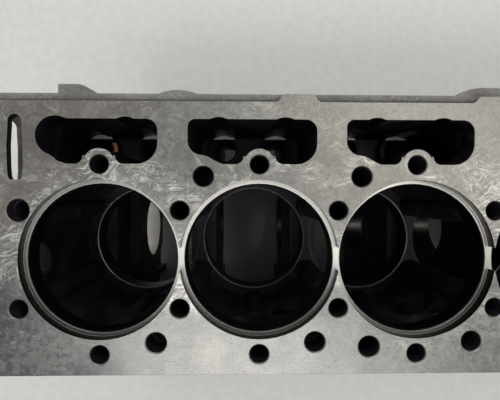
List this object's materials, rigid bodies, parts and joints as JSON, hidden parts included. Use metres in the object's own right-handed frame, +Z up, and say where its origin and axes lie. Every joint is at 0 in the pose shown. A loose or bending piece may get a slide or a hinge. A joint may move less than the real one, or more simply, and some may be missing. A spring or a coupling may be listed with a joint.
{
  "type": "engine block",
  "caption": "In-line diesel engine block for wet liners and pushrod valve gear, with main bearing caps, cam bushings, plugs and dowels.",
  "frame": {"origin": "in the plane of the sump rail, below the middle of the crankshaft axis", "axes": "+X along the crankshaft towards the flywheel end, +Y towards the camshaft and pushrod side, +Z up out of the deck"},
  "size_m": [0.889, 0.356, 0.452],
  "materials": {
    "casting": "rough cast outside, face-milled deck and joint faces",
    "cap_iron": "rough cast with machined joint and seats",
    "bolt_steel": "black oxide",
    "bushing": "bored bearing metal",
    "plug_steel": "zinc-plated pressed steel",
    "pin_steel": "ground steel"
  },
  "bodies": {
    "root": {"cylinder_block": "casting", "main_cap_1": "cap_iron", "main_cap_2": "cap_iron", "main_cap_3": "cap_iron", "main_cap_4": "cap_iron", "main_cap_5": "cap_iron", "main_cap_6": "cap_iron", "main_cap_7": "cap_iron", "main_cap_bolts": "bolt_steel", "cam_bushing_1": "bushing", "cam_bushing_2": "bushing", "cam_bushing_3": "bushing", "cam_bushing_4": "bushing", "cam_bushing_5": "bushing", "cam_bushing_6": "bushing", "cam_bushing_7": "bushing", "core_plugs": "plug_steel", "cam_end_plug": "plug_steel", "gallery_plugs": "bolt_steel", "front_dowel_pins": "pin_steel", "rear_dowel_pins": "pin_steel"}
  },
  "joints": []
}
